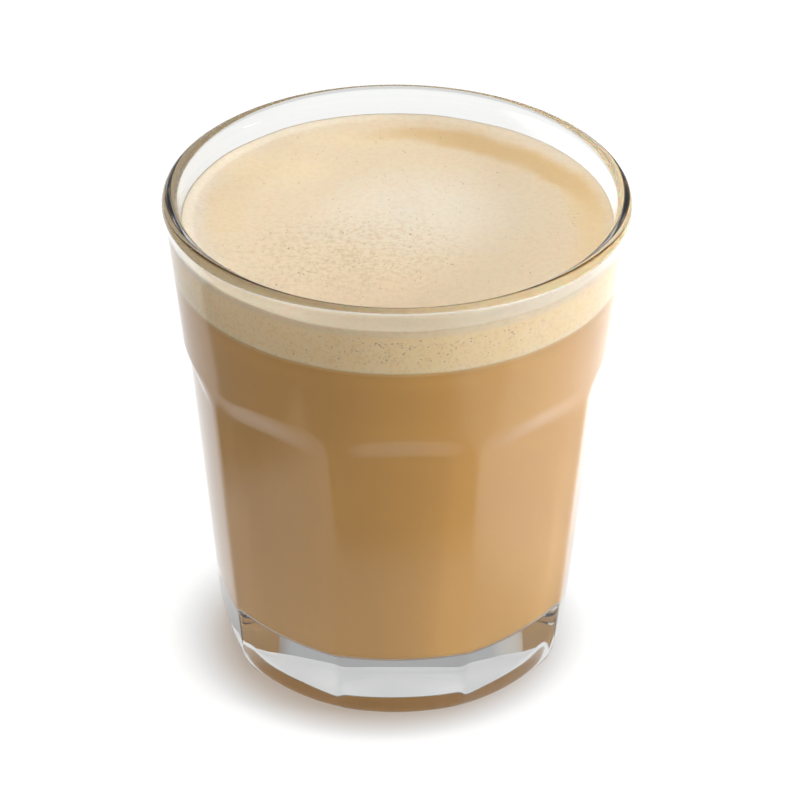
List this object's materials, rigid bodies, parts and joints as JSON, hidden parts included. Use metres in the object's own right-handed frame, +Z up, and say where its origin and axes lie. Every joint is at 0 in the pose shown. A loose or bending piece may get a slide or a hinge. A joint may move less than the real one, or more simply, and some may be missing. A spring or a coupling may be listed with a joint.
{
  "type": "glass of latte",
  "caption": "Clear faceted tumbler with a round band and beaded lip, filled with milky coffee under a layer of pale milk foam.",
  "frame": {"origin": "centre of the foot, on the surface that the glass stands on", "axes": "+Z up along the glass's axis; one of the nine facets faces -Y"},
  "size_m": [0.088, 0.088, 0.0967],
  "materials": {
    "clear_glass": "clear, polished, with a faint grey-green cast at its edges",
    "latte": null,
    "milk_foam": null
  },
  "bodies": {
    "root": {"glass": "clear_glass", "latte": "latte", "milk_foam": "milk_foam"}
  },
  "joints": []
}
